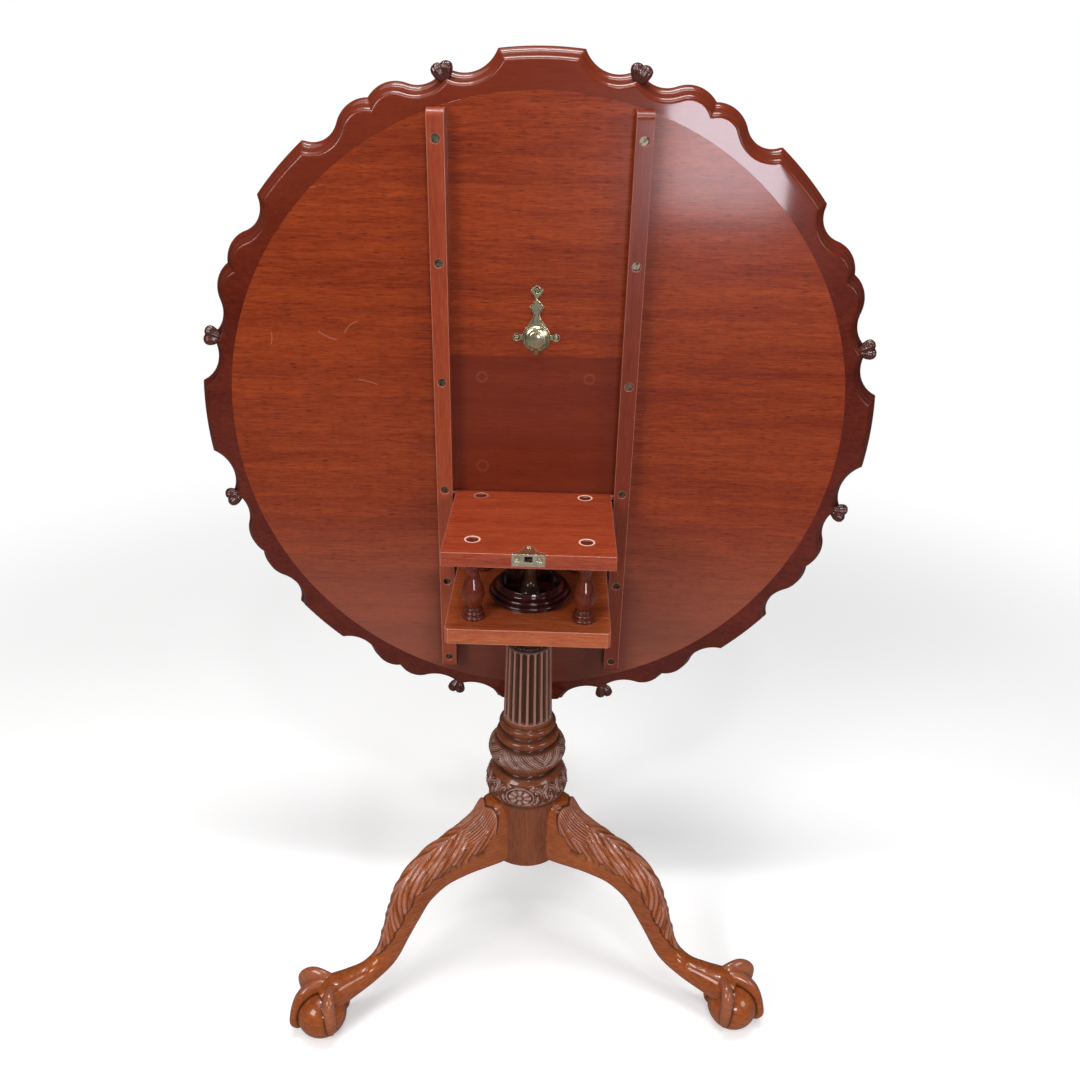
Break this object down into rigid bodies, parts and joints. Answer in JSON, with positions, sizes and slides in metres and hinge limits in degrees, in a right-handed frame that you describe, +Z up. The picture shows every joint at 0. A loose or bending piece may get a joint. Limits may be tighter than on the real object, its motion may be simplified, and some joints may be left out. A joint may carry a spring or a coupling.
{
  "type": "tilt top table",
  "caption": "Round tea table whose scalloped top tilts upright on hinge pintles and turns on a turned pillar with three curved legs on ball-and-claw feet.",
  "frame": {"origin": "on the floor under the pillar's axis", "axes": "+Z up along the pillar, +Y away from the underside of the upright top (behind the table), +X to the right when the underside is looked at"},
  "size_m": [0.862, 0.6014, 1.2226],
  "materials": {
    "mahogany_base": "waxed satin",
    "mahogany_turned": "waxed satin",
    "mahogany_dark": "waxed satin",
    "mahogany_board": "waxed satin",
    "mahogany_rim": "waxed satin",
    "brass": "aged satin",
    "steel": "dull"
  },
  "bodies": {
    "base": {"pillar": "mahogany_base", "leg_left": "mahogany_base", "leg_right": "mahogany_base", "leg_back": "mahogany_base", "collar": "mahogany_dark", "collar_wedge": "mahogany_dark"},
    "cage": {"upper_block": "mahogany_base", "lower_block": "mahogany_base", "baluster_front_left": "mahogany_turned", "baluster_front_right": "mahogany_turned", "baluster_back_left": "mahogany_turned", "baluster_back_right": "mahogany_turned", "strike_plate": "brass", "strike_screws": "brass"},
    "top": {"top_board": "mahogany_board", "rim_segment_1": "mahogany_rim", "rim_segment_2": "mahogany_rim", "rim_segment_3": "mahogany_rim", "rim_segment_4": "mahogany_rim", "rim_segment_5": "mahogany_rim", "rim_segment_6": "mahogany_rim", "rim_segment_7": "mahogany_rim", "rim_segment_8": "mahogany_rim", "batten_left": "mahogany_board", "batten_right": "mahogany_board", "batten_screws": "steel", "catch_plate": "brass", "catch_screws": "brass", "catch_spring": "steel"},
    "bolt": {"catch_bolt": "brass"}
  },
  "joints": [
    {"name": "cage_swivel", "type": "hinge", "parent": "base", "child": "cage", "pos_m": [0, 0, 0.6], "axis": [0, 0, 1], "continuous": true},
    {"name": "top_tilt", "type": "hinge", "parent": "cage", "child": "top", "pos_m": [0, 0.0898, 0.7018], "axis": [1, 0, 0], "range_deg": [0, 90]},
    {"name": "catch_slide", "type": "slide", "parent": "top", "child": "bolt", "axis": [0, 0, 1], "range_m": [0, 0.0045], "stiffness_N_per_m": 300, "springref_m": -0.01, "deforming": ["catch_spring"]}
  ]
}
